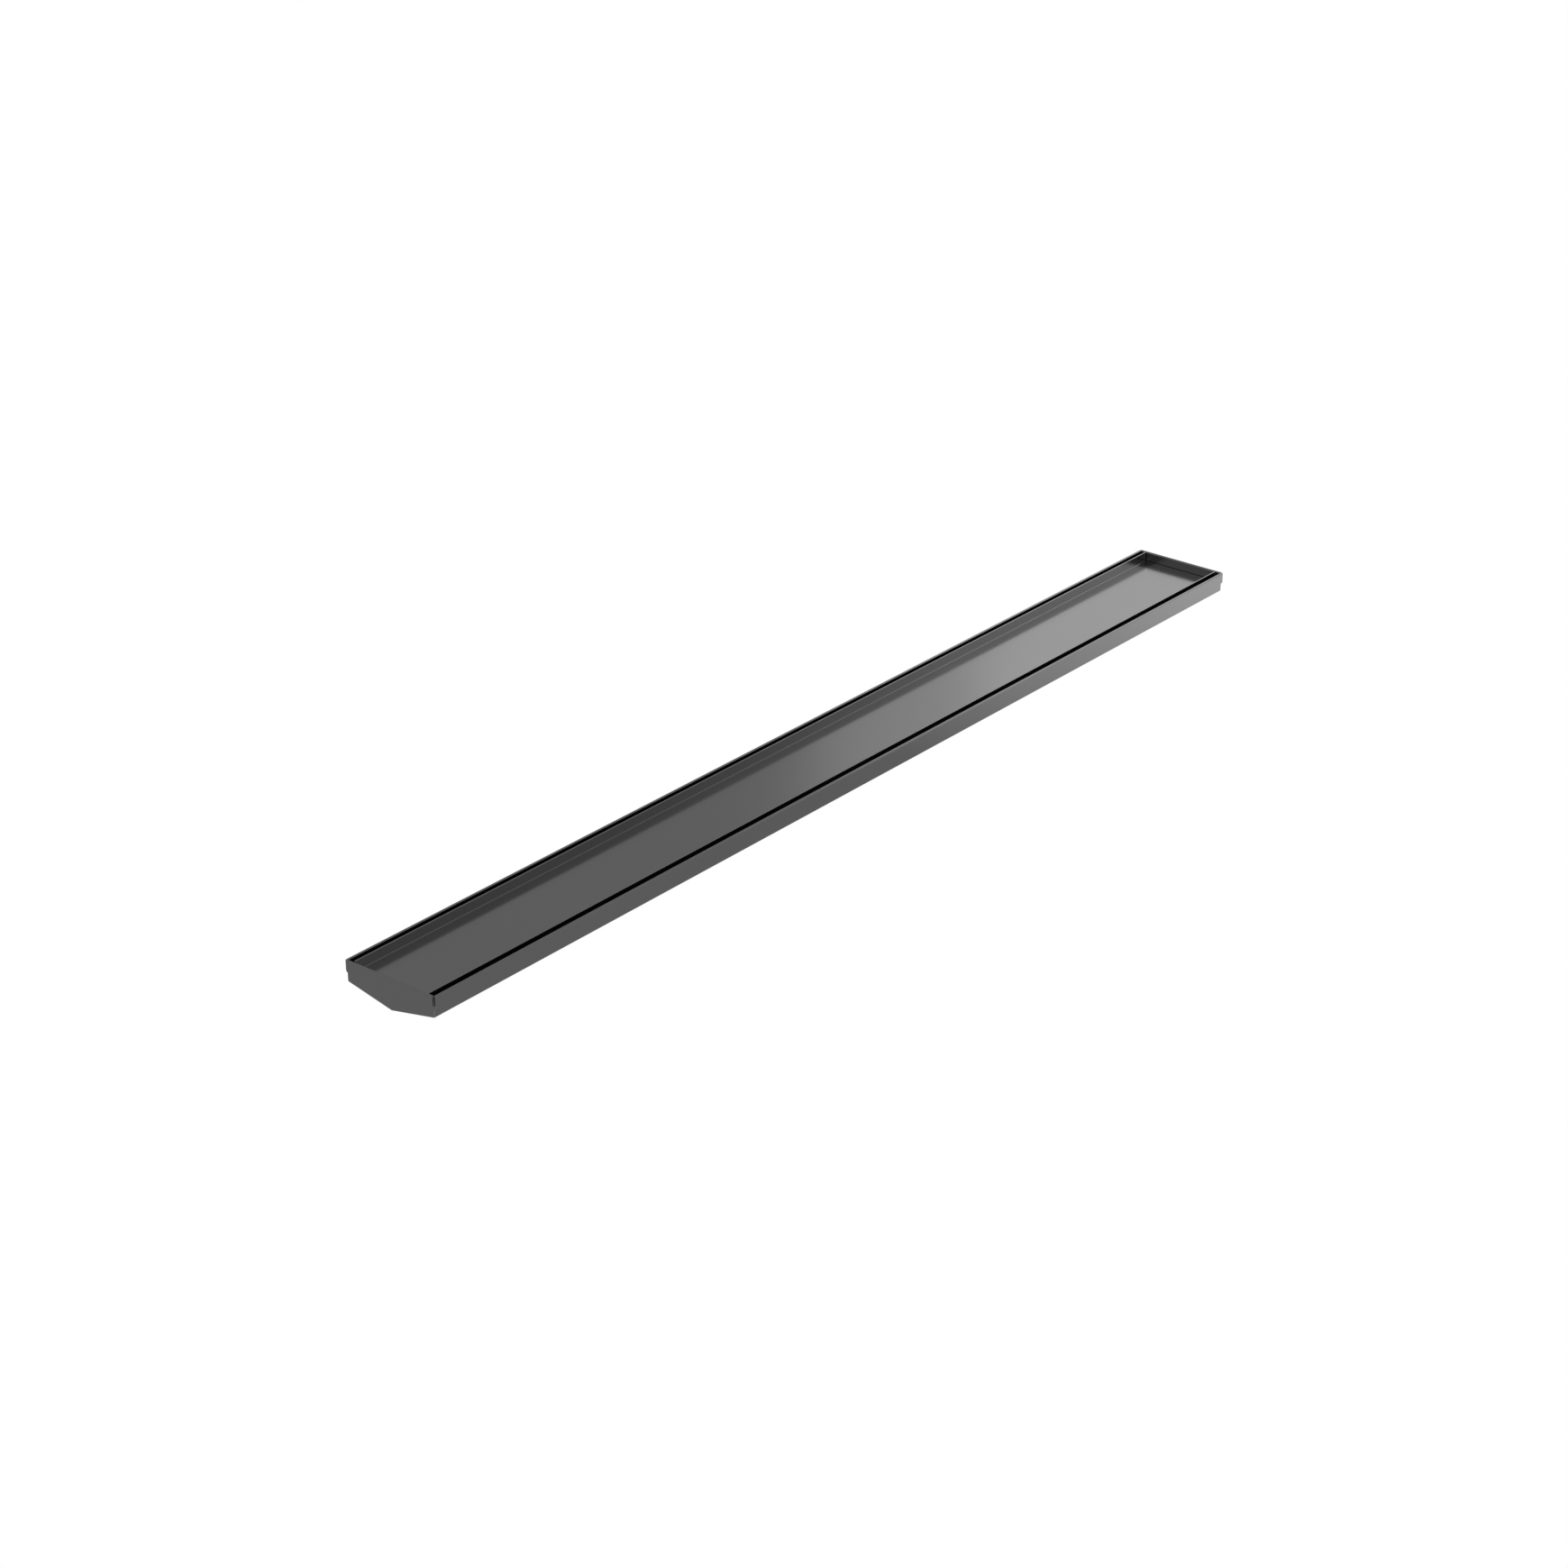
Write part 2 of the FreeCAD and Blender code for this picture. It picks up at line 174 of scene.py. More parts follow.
# ---------------------------------------------------------------- sheet metal work
class SheetMetal:
    """A strip of sheet while it is folded, trimmed, thickened and deburred."""

    PUNCH_MARGIN = 1.2
    DEBURR_SEGMENTS = 2
    ROUND_PROFILE = 0.5

    def __init__(self, start: Vector, stop: Vector) -> None:
        """Lay down the first edge of the strip, which all bends run parallel to.

        Args:
            start: one end of the edge.
            stop: its other end.
        """
        self.mesh: BMesh = bmesh.new()
        corners = [self.mesh.verts.new(start), self.mesh.verts.new(stop)]
        self.front: list[BMEdge] = [self.mesh.edges.new(corners)]
        self.along: Vector = (stop - start).normalized()
        self.worn_and_highlit = self.mesh.faces.layers.float.new(BARE_EDGE_AND_HIGHLIGHT)

    def run(self, step: Vector) -> "SheetMetal":
        """Carry the strip straight on by a step.

        Args:
            step: how far the strip's front edge moves.

        Returns:
            The strip itself.
        """
        grown = bmesh.ops.extrude_edge_only(self.mesh, edges=self.front)["geom"]
        corners = [item for item in grown if isinstance(item, BMVert)]
        bmesh.ops.translate(self.mesh, vec=step, verts=corners)
        self.front = [item for item in grown
                      if isinstance(item, BMEdge) and set(item.verts) <= set(corners)]
        return self

    def run_to(self, across: float, up: float) -> "SheetMetal":
        """Carry the strip straight on to a place in the plane that it is folded in.

        Args:
            across: the place along Y, or along X for a strip that lies along Y.
            up: the place along Z.

        Returns:
            The strip itself.
        """
        here = self.front[0].verts[0].co
        if abs(self.along.x) > abs(self.along.y):
            return self.run(Vector((0, across - here.y, up - here.z)))
        return self.run(Vector((across - here.x, 0, up - here.z)))

    def bend(self, centre: Vector, angle: float, steps: int = BEND_STEPS) -> "SheetMetal":
        """Bend the strip on about an axis through a point.

        Args:
            centre: a point on the bend's axis.
            angle: how far it turns, counter-clockwise about the strip's own direction.
            steps: flats in the bend.

        Returns:
            The strip itself.
        """
        turned = bmesh.ops.spin(self.mesh, geom=self.front, cent=centre, axis=self.along,
                                angle=angle, steps=steps, use_merge=False,
                                use_duplicate=False)
        self.front = [item for item in turned["geom_last"] if isinstance(item, BMEdge)]
        return self

    def mirror(self) -> "SheetMetal":
        """Complete the strip with its mirror image across the drain's middle.

        Returns:
            The strip itself.
        """
        whole = with_boundary(self.mesh.faces)
        bmesh.ops.mirror(self.mesh, geom=whole, matrix=Matrix.Identity(4),
                         merge_dist=WELD_DISTANCE, axis="Y")
        return self

    def face_towards(self, outward: Callable[[BMFace], float]) -> "SheetMetal":
        """Weld the strip and turn its faces to its visible side.

        Args:
            outward: tells for one face whether it points the right way, by its sign.

        Returns:
            The strip itself.
        """
        bmesh.ops.remove_doubles(self.mesh, verts=self.mesh.verts, dist=WELD_DISTANCE)
        bmesh.ops.recalc_face_normals(self.mesh, faces=self.mesh.faces)
        self.mesh.normal_update()
        largest = max(self.mesh.faces, key=lambda face: face.calc_area())
        if outward(largest) < 0:
            bmesh.ops.reverse_faces(self.mesh, faces=self.mesh.faces)
        return self

    def trim(self, point: Vector, normal: Vector,
             wanted: Callable[[BMFace], bool] = lambda face: True) -> "SheetMetal":
        """Shear off what lies on the far side of a plane.

        Args:
            point: a point of the plane.
            normal: the plane's normal, which points at the waste.
            wanted: says which faces are sheared.

        Returns:
            The strip itself.
        """
        faces = [face for face in self.mesh.faces if wanted(face)]
        bmesh.ops.bisect_plane(self.mesh, geom=with_boundary(faces), plane_co=point,
                               plane_no=normal)
        waste = [face for face in self.mesh.faces if wanted(face)
                 and (face.calc_center_median() - point).dot(normal) > 0]
        bmesh.ops.delete(self.mesh, geom=waste, context="FACES")
        return self

    def punch(self, radius: float, sides: int) -> "SheetMetal":
        """Punch a round hole through the flat sheet about the Z axis.

        Args:
            radius: of the hole.
            sides: flats round the hole.

        Returns:
            The strip itself.
        """
        near = self.PUNCH_MARGIN * radius
        for normal in (X, -X, Y, -Y):
            bmesh.ops.bisect_plane(self.mesh, geom=with_boundary(self.mesh.faces),
                                   plane_co=near * normal, plane_no=normal)
        flat = radius * math.cos(HALF_TURN / sides)
        cuts: list[Vector] = []
        for index in range(sides):
            angle = FULL_TURN * (index + 0.5) / sides
            outward = Vector((math.cos(angle), math.sin(angle), 0))
            inner = self.hole_waste(cuts, flat, near)
            bmesh.ops.bisect_plane(self.mesh, geom=with_boundary(inner),
                                   plane_co=flat * outward, plane_no=outward)
            cuts.append(outward)
        bmesh.ops.delete(self.mesh, geom=self.hole_waste(cuts, flat, near),
                         context="FACES")
        return self

    def hole_waste(self, cuts: list[Vector], flat: float, near: float) -> list[BMFace]:
        """Faces inside all the cuts made so far for a round hole.

        Args:
            cuts: outward direction of each cut.
            flat: distance of the cuts from the hole's axis.
            near: half the side of the square that the hole is cut from.

        Returns:
            The faces, which are the waste once every cut is made.
        """
        waste = []
        for face in self.mesh.faces:
            middle = face.calc_center_median()
            is_near = max(abs(middle.x), abs(middle.y)) <= near
            if is_near and all(middle.dot(outward) < flat for outward in cuts):
                waste.append(face)
        return waste

    def thicken(self, gauge: float) -> "SheetMetal":
        """Give the sheet its thickness, behind its visible side."""
        bmesh.ops.solidify(self.mesh, geom=self.mesh.faces[:], thickness=gauge)
        return self

    def deburr(self, width: float, bareness_and_highlight: float = 1.0,
               wanted: Callable[[BMEdge], bool] = lambda edge: True) -> "SheetMetal":
        """Round the sheared edges, where the dark finish wears thin and a highlight is
        painted.

        Args:
            width: of the rounding.
            bareness_and_highlight: how much of the finish is rubbed off there and how
                bright the painted highlight is, from 0 to 1.
            wanted: says which of the sharp edges are rounded.

        Returns:
            The sheet itself.
        """
        sharp = [edge for edge in self.mesh.edges if len(edge.link_faces) == 2
                 and edge.calc_face_angle(0.0) > SHARP_ANGLE and wanted(edge)]
        rounded = bmesh.ops.bevel(
            self.mesh, geom=sharp, offset=width, segments=self.DEBURR_SEGMENTS,
            profile=self.ROUND_PROFILE, affect="EDGES", clamp_overlap=True, material=-1)
        for face in rounded["faces"]:
            face[self.worn_and_highlit] = bareness_and_highlight
        return self

    def coat(self, matt: Callable[[BMFace], bool]) -> "SheetMetal":
        """Give the faces deep in the slots, where shade falls, the near-black coat:
        painted shade.

        Args:
            matt: says which faces those are.

        Returns:
            The sheet itself.
        """
        for face in self.mesh.faces:
            if matt(face):
                face.material_index = Coat.MATT
        return self

    def rub_bare_and_highlight(self, bared_and_highlit: Callable[[BMFace], bool]) -> "SheetMetal":
        """Take the dark finish off some sheared faces, which paints a full highlight on
        them.

        Args:
            bared_and_highlit: says which faces those are.

        Returns:
            The sheet itself.
        """
        for face in self.mesh.faces:
            if bared_and_highlit(face):
                face[self.worn_and_highlit] = 1.0
        return self

    def turn_about_z(self) -> None:
        """Turn the whole sheet half round about the Z axis."""
        bmesh.ops.rotate(self.mesh, cent=Vector(), verts=self.mesh.verts,
                         matrix=Matrix.Rotation(HALF_TURN, 3, "Z"))


def with_boundary(faces: Iterable[BMFace]) -> list[BMFace | BMEdge | BMVert]:
    """Faces with all of their edges and corners, once each.

    Args:
        faces: some faces of one mesh.

    Returns:
        The geometry that a mesh operator takes for them.
    """
    faces = list(faces)
    edges = dict.fromkeys(edge for face in faces for edge in face.edges)
    corners = dict.fromkeys(corner for face in faces for corner in face.verts)
    return [*faces, *edges, *corners]


def make_piece(name: str, mesh: BMesh, materials: Iterable[bpy.types.Material],
               node: str) -> bpy.types.Object:
    """Turn a finished mesh into a piece of the drain.

    Args:
        name: of the piece.
        mesh: its shape, which is used up.
        materials: one for each coat.
        node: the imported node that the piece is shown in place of.

    Returns:
        The new object, which rides on the drain.
    """
    for face in mesh.faces:
        face.smooth = True
    for edge in mesh.edges:
        edge.smooth = edge.calc_face_angle(0.0) < SHARP_ANGLE
    data = bpy.data.meshes.new(name)
    mesh.to_mesh(data)
    mesh.free()
    for material in materials:
        data.materials.append(material)
    piece = bpy.data.objects.new(name, data)
    bpy.context.scene.collection.objects.link(piece)
    even = piece.modifiers.new("even_normals", "WEIGHTED_NORMAL")
    even.keep_sharp = True
    even.weight = NORMAL_WEIGHT
    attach(piece, BODY)
    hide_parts(node)
    LOG.info("%s: %d faces, stands for %s", name, len(data.polygons), node)
    return piece


# ---------------------------------------------------------------- finishes
class Bench:
    """Lays out shader nodes and joins them."""

    def __init__(self, tree: bpy.types.NodeTree) -> None:
        """Work on one node tree."""
        self.tree = tree

    def add(self, kind: str, **values: object) -> bpy.types.Node:
        """Add a node and set its properties and inputs.

        Args:
            kind: the node's type, without its ShaderNode.
            values: properties of the node by name, or inputs by name with _ for a space.

        Returns:
            The new node.
        """
        node = self.tree.nodes.new(f"ShaderNode{kind}")
        for name, value in values.items():
            if hasattr(node, name):
                setattr(node, name, value)
            else:
                node.inputs[name.replace("_", " ")].default_value = value
        return node

    def join(self, source: bpy.types.NodeSocket, target: bpy.types.NodeSocket) -> None:
        """Run a link from an output to an input."""
        self.tree.links.new(source, target)


class ShaderGroup:
    """A group of shader nodes, which is built the first time it is asked for."""

    NAME: str
    INPUTS: dict[str, tuple[str, object]]
    OUTPUTS: dict[str, str]

    @classmethod
    def tree(cls) -> bpy.types.NodeTree:
        """Find the group, or else build it.

        Returns:
            The group's node tree.
        """
        if cls.NAME in bpy.data.node_groups:
            return bpy.data.node_groups[cls.NAME]
        tree = bpy.data.node_groups.new(cls.NAME, "ShaderNodeTree")
        for name, (kind, start) in cls.INPUTS.items():
            socket = tree.interface.new_socket(name, in_out="INPUT", socket_type=kind)
            socket.default_value = start
        for name, kind in cls.OUTPUTS.items():
            tree.interface.new_socket(name, in_out="OUTPUT", socket_type=kind)
        cls.fill(Bench(tree), tree.nodes.new("NodeGroupInput"),
                 tree.nodes.new("NodeGroupOutput"))
        return tree

    @classmethod
    def fill(cls, bench: Bench, entry: bpy.types.Node, leave: bpy.types.Node) -> None:
        """Lay out what the group does between its entry and its exit.

        Args:
            bench: holds the group's nodes.
            entry: node with the group's inputs.
            leave: node with the group's outputs.
        """
        raise NotImplementedError


class GrainGroup(ShaderGroup):
    """Fine lines of a brushed sheet and its slight clouding, both about 0.5."""

    NAME = "brushed_grain"
    INPUTS = {"Stretch": ("NodeSocketVector", (1, 1, 1)),
              "Lines per metre": ("NodeSocketFloat", 1500.0),
              "Clouds per metre": ("NodeSocketFloat", 9.0)}
    OUTPUTS = {"Lines": "NodeSocketFloat", "Clouds": "NodeSocketFloat"}
    FINE_NOISE = {"Detail": 3.0, "Roughness": 0.6}
    SOFT_NOISE = {"Detail": 2.0, "Roughness": 0.45}

    @classmethod
    def fill(cls, bench: Bench, entry: bpy.types.Node, leave: bpy.types.Node) -> None:
        """Stretch one noise into lines and leave the other as clouds.

        Args:
            bench: holds the group's nodes.
            entry: node with the group's inputs.
            leave: node with the group's outputs.
        """
        place = bench.add("TexCoord")
        stretched = bench.add("VectorMath", operation="MULTIPLY")
        lines = bench.add("TexNoise", **cls.FINE_NOISE)
        clouds = bench.add("TexNoise", **cls.SOFT_NOISE)
        bench.join(place.outputs["Object"], stretched.inputs[0])
        bench.join(entry.outputs["Stretch"], stretched.inputs[1])
        bench.join(stretched.outputs["Vector"], lines.inputs["Vector"])
        bench.join(place.outputs["Object"], clouds.inputs["Vector"])
        for noise, name in ((lines, "Lines"), (clouds, "Clouds")):
            bench.join(entry.outputs[f"{name} per metre"], noise.inputs["Scale"])
            bench.join(noise.outputs["Fac"], leave.inputs[name])


class WearAndHighlightGroup(ShaderGroup):
    """Brighter metal at rounded and sheared edges: finish rubbed thin there, and a painted
    highlight.
    """

    NAME = "edge_wear_and_highlight"
    INPUTS = {"Finish": ("NodeSocketColor", (0.3, 0.3, 0.3, 1)),
              "Bare metal and highlight": ("NodeSocketColor", (0.5, 0.5, 0.5, 1)),
              "Amount": ("NodeSocketFloat", 0.5)}
    OUTPUTS = {"Color": "NodeSocketColor"}

    @classmethod
    def fill(cls, bench: Bench, entry: bpy.types.Node, leave: bpy.types.Node) -> None:
        """Mix the finish with the bare metal, which is also a painted highlight, by each
        face's edge value.

        Args:
            bench: holds the group's nodes.
            entry: node with the group's inputs.
            leave: node with the group's outputs.
        """
        edge = bench.add("Attribute", attribute_name=BARE_EDGE_AND_HIGHLIGHT)
        share = bench.add("Math", operation="MULTIPLY", use_clamp=True)
        mix = bench.add("Mix", data_type="RGBA")
        bench.join(edge.outputs["Fac"], share.inputs[0])
        bench.join(entry.outputs["Amount"], share.inputs[1])
        bench.join(share.outputs["Value"], mix.inputs["Factor"])
        bench.join(entry.outputs["Finish"], mix.inputs["A"])
        bench.join(entry.outputs["Bare metal and highlight"], mix.inputs["B"])
        bench.join(mix.outputs["Result"], leave.inputs["Color"])


@dataclass(frozen=True)
class MetalFinish:
    """A finish of the sheet, from which its shader is built."""

    name: str
    tone: float
    roughness: float
    metallic: float = 1.0
    specular: float = 0.5
    # Tone and share of bare metal at edges, which also stands for a painted highlight
    # there.
    bare_and_highlight_tone: float = 0.62
    worn_and_highlit: float = 0.6
    cloud_contrast: float = 0.05
    roughness_spread: float = 0.06
    grain_height: float = 0.00001
    grain_strength: float = 0.15
    lines_per_metre: float = 1500.0
    noise_range: tuple[float, float] = (0.25, 0.75)
    grain: Grain = Grain.ALONG

    @staticmethod
    def grey(tone: float) -> tuple[float, float, float, float]:
        """A neutral colour of a tone."""
        return (tone, tone, tone, 1.0)

    def material(self) -> bpy.types.Material:
        """Build the shader of this finish.

        Returns:
            The material, named for the finish and the run of its grain.
        """
        name = f"{self.name}_{self.grain.name.lower()}"
        if name in bpy.data.materials:
            return bpy.data.materials[name]
        material = bpy.data.materials.new(name)
        material.use_nodes = True
        bench = Bench(material.node_tree)
        shader = material.node_tree.nodes["Principled BSDF"]
        shader.inputs["Metallic"].default_value = self.metallic
        shader.inputs["Specular IOR Level"].default_value = self.specular

        grain = bench.add("Group", node_tree=GrainGroup.tree())
        grain.inputs["Stretch"].default_value = self.grain.value
        grain.inputs["Lines per metre"].default_value = self.lines_per_metre
        worn_and_highlit = bench.add("Group", node_tree=WearAndHighlightGroup.tree())
        worn_and_highlit.inputs["Bare metal and highlight"].default_value = self.grey(self.bare_and_highlight_tone)
        worn_and_highlit.inputs["Amount"].default_value = self.worn_and_highlit

        tone = bench.add("Mix", data_type="RGBA")
        tone.inputs["A"].default_value = self.grey(self.tone * (1 - self.cloud_contrast))
        tone.inputs["B"].default_value = self.grey(self.tone * (1 + self.cloud_contrast))
        bench.join(grain.outputs["Clouds"], tone.inputs["Factor"])
        bench.join(tone.outputs["Result"], worn_and_highlit.inputs["Finish"])
        bench.join(worn_and_highlit.outputs["Color"], shader.inputs["Base Color"])

        lowest, highest = self.noise_range
        gloss = bench.add("MapRange", From_Min=lowest, From_Max=highest,
                          To_Min=self.roughness * (1 - self.roughness_spread),
                          To_Max=self.roughness * (1 + self.roughness_spread))
        bench.join(grain.outputs["Lines"], gloss.inputs["Value"])
        bench.join(gloss.outputs["Result"], shader.inputs["Roughness"])

        bump = bench.add("Bump", Strength=self.grain_strength, Distance=self.grain_height)
        bench.join(grain.outputs["Lines"], bump.inputs["Height"])
        bench.join(bump.outputs["Normal"], shader.inputs["Normal"])
        return material


SATIN = MetalFinish("gunmetal_satin", tone=0.36, roughness=0.17)
SATIN_END = replace(SATIN, grain=Grain.ACROSS)
# Near-black matt coat: painted shade on the faces deep in the slots, on the tray's outside
# and on the brackets.
MATT = MetalFinish("gunmetal_matt", tone=0.006, roughness=0.75, metallic=0.0, worn_and_highlit=0.0,
                   specular=0.05)
WELD = MetalFinish("weld_bead", tone=0.42, roughness=0.3, grain=Grain.ROUND,
                   grain_strength=0.4, lines_per_metre=600.0)


# ---------------------------------------------------------------- the drain's pieces
@dataclass
class Trough:
    """Trough folded from one sheet: sloping floor, side walls and their hems."""

    levels: Levels
    hem_depth: float = 0.0078
    bend_radius: float = 0.0003
    crease_radius: float = 0.001
    crease_steps: int = 2
    outlet_radius: float = 0.0188
    # Fold radii above the fold's axis up to which the rim's inner side is painted near
    # black as shade.
    painted_shade_below: float = 0.55
    deburring: float = 0.00012

    def fold(self) -> SheetMetal:
        """Fold the right half along its visible side and mirror it to the left.

        Returns:
            The sheet with no thickness, as it comes off the brake.
        """
        levels = self.levels
        slope = math.atan(levels.floor_slope)
        hub = levels.floor_top + self.crease_radius / math.cos(slope)
        start = Vector((-levels.end_outer, 0, hub - self.crease_radius))
        sheet = SheetMetal(start, Vector((levels.end_outer, 0, start.z)))
        sheet.bend(Vector((0, 0, hub)), slope, self.crease_steps)
        # The bend's centre is at its radius from both the floor and the wall.
        centre_y = levels.wall_inner - self.bend_radius
        centre_z = levels.floor_at(centre_y) + self.bend_radius / math.cos(slope)
        foot = Vector((0, math.sin(slope), -math.cos(slope))) * self.bend_radius
        sheet.run_to(centre_y + foot.y, centre_z + foot.z)
        sheet.bend(Vector((0, centre_y, centre_z)), QUARTER_TURN - slope)
        sheet.run_to(levels.wall_inner, levels.fold_level)
        sheet.bend(Vector((0, levels.wall_inner + levels.fold_radius, levels.fold_level)),
                   -HALF_TURN, FOLD_STEPS)
        sheet.run_to(levels.half_width, levels.rim - self.hem_depth)
        return sheet.mirror()

    def is_outer(self, edge: BMEdge) -> bool:
        """Whether an edge may be rounded: not where an end plate is welded in flush.

        Args:
            edge: a sharp edge of the trough.

        Returns:
            True if no end plate meets the edge.
        """
        middle = (edge.verts[0].co + edge.verts[1].co) / 2
        at_end = abs(abs(middle.x) - self.levels.end_outer) < WELD_DISTANCE
        inside = abs(middle.y) < self.levels.wall_inner + WELD_DISTANCE
        above_floor = middle.z > self.levels.floor_at(middle.y) - WELD_DISTANCE
        return not (at_end and inside and above_floor)

    def gets_painted_shade(self, face: BMFace) -> bool:
        """Whether a face looks into the trough from below the satin top of the rim, and so
        is painted near black as shade.

        The painted shade stops, and the satin starts, at `painted_shade_below` fold radii
        above the axis of the fold.

        Args:
            face: a face of the trough.

        Returns:
            True if the face gets the near-black painted shade.
        """
        levels, middle = self.levels, face.calc_center_median()
        looks_in = face.normal.y * middle.y < 0 or face.normal.z > LOOKS_ALONG
        inside = abs(middle.y) < levels.wall_inner + levels.fold_radius
        above_floor = middle.z > levels.floor_at(middle.y) - WELD_DISTANCE
        below_rim = middle.z < levels.fold_level + self.painted_shade_below * levels.fold_radius
        is_sheet_end = abs(face.normal.x) >= LOOKS_ALONG
        return looks_in and inside and above_floor and below_rim and not is_sheet_end

    def is_hem_end(self, face: BMFace) -> bool:
        """Whether a face is the sheared end of a side hem, beside an end hem."""
        outside = abs(face.calc_center_median().y) > self.levels.wall_inner
        return outside and abs(face.normal.x) > IS_SQUARE_TO

    def build(self) -> bpy.types.Object:
        """Make the trough and dress it.

        Returns:
            The trough.
        """
        sheet = self.fold().punch(self.outlet_radius, ROUND_STEPS)
        sheet.face_towards(lambda face: face.normal.z)
        sheet.thicken(self.levels.gauge).deburr(self.deburring, wanted=self.is_outer)
        # Hem ends get bare metal, which is also a painted highlight; faces deep in the
        # slots get painted shade.
        sheet.rub_bare_and_highlight(self.is_hem_end).coat(self.gets_painted_shade)
        return make_piece("trough", sheet.mesh, (SATIN.material(), MATT.material()),
                          "channel_body")


@dataclass
class EndPlate:
    """Plate that closes one end of the trough, with a hem folded over its top."""

    levels: Levels
    end: DrainEnd
    hem_depth: float = 0.0078
    deburring: float = 0.00012

    def fold(self) -> SheetMetal:
        """Fold the plate of the left end and shear it to the floor.

        Returns:
            The sheet with no thickness, seen from inside the trough and over the hem.
        """
        levels = self.levels
        half = levels.end_hem_half
        start = Vector((-levels.end_inner, -half, levels.floor_top))
        sheet = SheetMetal(start, Vector((start.x, half, start.z)))
        sheet.run_to(-levels.end_inner, levels.fold_level)
        hub = Vector((-levels.end_inner - levels.fold_radius, 0, levels.fold_level))
        sheet.bend(hub, -HALF_TURN, FOLD_STEPS)
        sheet.run_to(-levels.half_length, levels.rim - self.hem_depth)
        bmesh.ops.bisect_plane(sheet.mesh, geom=with_boundary(sheet.mesh.faces),
                               plane_co=-levels.end_outer * X, plane_no=X)
        for side in Side:
            sheet.trim(Vector((0, side.value * levels.wall_inner, 0)), side.value * Y,
                       lambda face: face.calc_center_median().x > -levels.end_outer)
            downhill = Vector((0, side.value * levels.floor_slope, -1))
            sheet.trim(Vector((0, 0, levels.floor_top)), downhill)
        return sheet

    def is_free(self, edge: BMEdge) -> bool:
        """Whether an edge may be rounded: only the hem's own, as the rest is welded in."""
        limit = self.levels.end_outer + WELD_DISTANCE
        return all(-corner.co.x > limit for corner in edge.verts)

    def build(self) -> bpy.types.Object:
        """Make the plate, dress it and set it in its end.

        Returns:
            The plate with its hem.
        """
        sheet = self.fold().face_towards(lambda face: face.normal.x)
        sheet.thicken(self.levels.gauge).deburr(self.deburring, wanted=self.is_free)
        if self.end is DrainEnd.RIGHT:
            sheet.turn_about_z()
        side = self.end.name.lower()
        return make_piece(f"end_plate_with_hem_{side}", sheet.mesh,
                          (SATIN_END.material(), MATT.material()), f"end_plate_{side}")


@dataclass
class TileTray:
    """Shallow tray for the tile, folded up along both sides and open at its ends."""

    gauge: float = 0.0008
    bend_radius: float = 0.0004
    deburring: float = 0.00015
    edge_tilt: float = 0.1

    def build(self) -> bpy.types.Object:
        """Make the tray and dress it.

        Returns:
            The tray.
        """
        low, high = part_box("tile_tray")
        inner, floor = high.y - self.gauge, low.z + self.gauge
        sheet = SheetMetal(Vector((low.x, 0, floor)), Vector((high.x, 0, floor)))
        sheet.run_to(inner - self.bend_radius, floor)
        hub = Vector((0, inner - self.bend_radius, floor + self.bend_radius))
        sheet.bend(hub, QUARTER_TURN)
        sheet.run_to(inner, high.z)
        sheet.mirror().face_towards(lambda face: face.normal.z)
        sheet.thicken(self.gauge).deburr(self.deburring)
        # The tray's outside, towards the trough, is painted near black as shade.
        sheet.coat(lambda face: self.gets_painted_shade(face, high.y, low.z))
        return make_piece("tile_insert_tray", sheet.mesh,
                          (SATIN.material(), MATT.material()), "tile_tray")

    def gets_painted_shade(self, face: BMFace, outer: float, base: float) -> bool:
        """Whether a face is on the tray's outside, towards the trough, where it is painted
        near black as shade.

        A face that is tilted up by more than `edge_tilt` belongs to the visible edge.

        Args:
            face: the face in question.
            outer: outside of the tray's wall.
            base: underside of the tray.

        Returns:
            True if the face looks into the trough and gets painted shade.
        """
        middle = face.calc_center_median()
        outwards = face.normal.y * middle.y > 0 or face.normal.z < -LOOKS_ALONG
        at_side = abs(middle.y) > outer - self.gauge / 2
        at_base = middle.z < base + self.gauge / 2
        return outwards and (at_side or at_base) and face.normal.z < self.edge_tilt


@dataclass
class TrayBracket:
    """Bracket welded across the tray's underside, whose legs stand on the floor."""

    levels: Levels
    number: int
    gauge: float = 0.0015
    bend_radius: float = 0.001
    deburring: float = 0.0002
    edge_wear_and_highlight: float = 0.4

    def build(self) -> bpy.types.Object:
        """Make the bracket and dress it.

        Returns:
            The bracket.
        """
        node = f"tray_bracket_{self.number}"
        low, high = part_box(node)
        radius = self.bend_radius + self.gauge
        sheet = SheetMetal(Vector((low.x, 0, high.z)), Vector((high.x, 0, high.z)))
        sheet.run_to(high.y - radius, high.z)
        sheet.bend(Vector((0, high.y - radius, high.z - radius)), -QUARTER_TURN)
        # The legs are left long enough to be sheared to the floor's slope.
        sheet.run_to(high.y, low.z - self.gauge)
        sheet.mirror().face_towards(lambda face: face.normal.z)
        sheet.thicken(self.gauge)
        for side in Side:
            self.stand_on_floor(sheet, side)
        sheet.deburr(self.deburring, bareness_and_highlight=self.edge_wear_and_highlight)
        # The whole bracket is painted near black, as shade, so that it is lost in the
        # slots' shade.
        return make_piece(f"bracket_under_tray_{self.number}", sheet.mesh,
                          (MATT.material(),), node)

    def stand_on_floor(self, sheet: SheetMetal, side: Side) -> None:
        """Shear a leg to the slope of the floor and close its foot.

        Args:
            sheet: the bracket, with its thickness.
            side: which leg.
        """
        slope = Vector((0, side.value * self.levels.floor_slope, -1))
        leg = [face for face in sheet.mesh.faces
               if all(corner.co.y * side.value > 0 for corner in face.verts)]
        cut = bmesh.ops.bisect_plane(
            sheet.mesh, geom=with_boundary(leg), plane_no=slope, clear_outer=True,
            plane_co=Vector((0, 0, self.levels.floor_top)))["geom_cut"]
        rim = [item for item in cut if isinstance(item, BMEdge)]
        bmesh.ops.holes_fill(sheet.mesh, edges=rim, sides=len(rim))


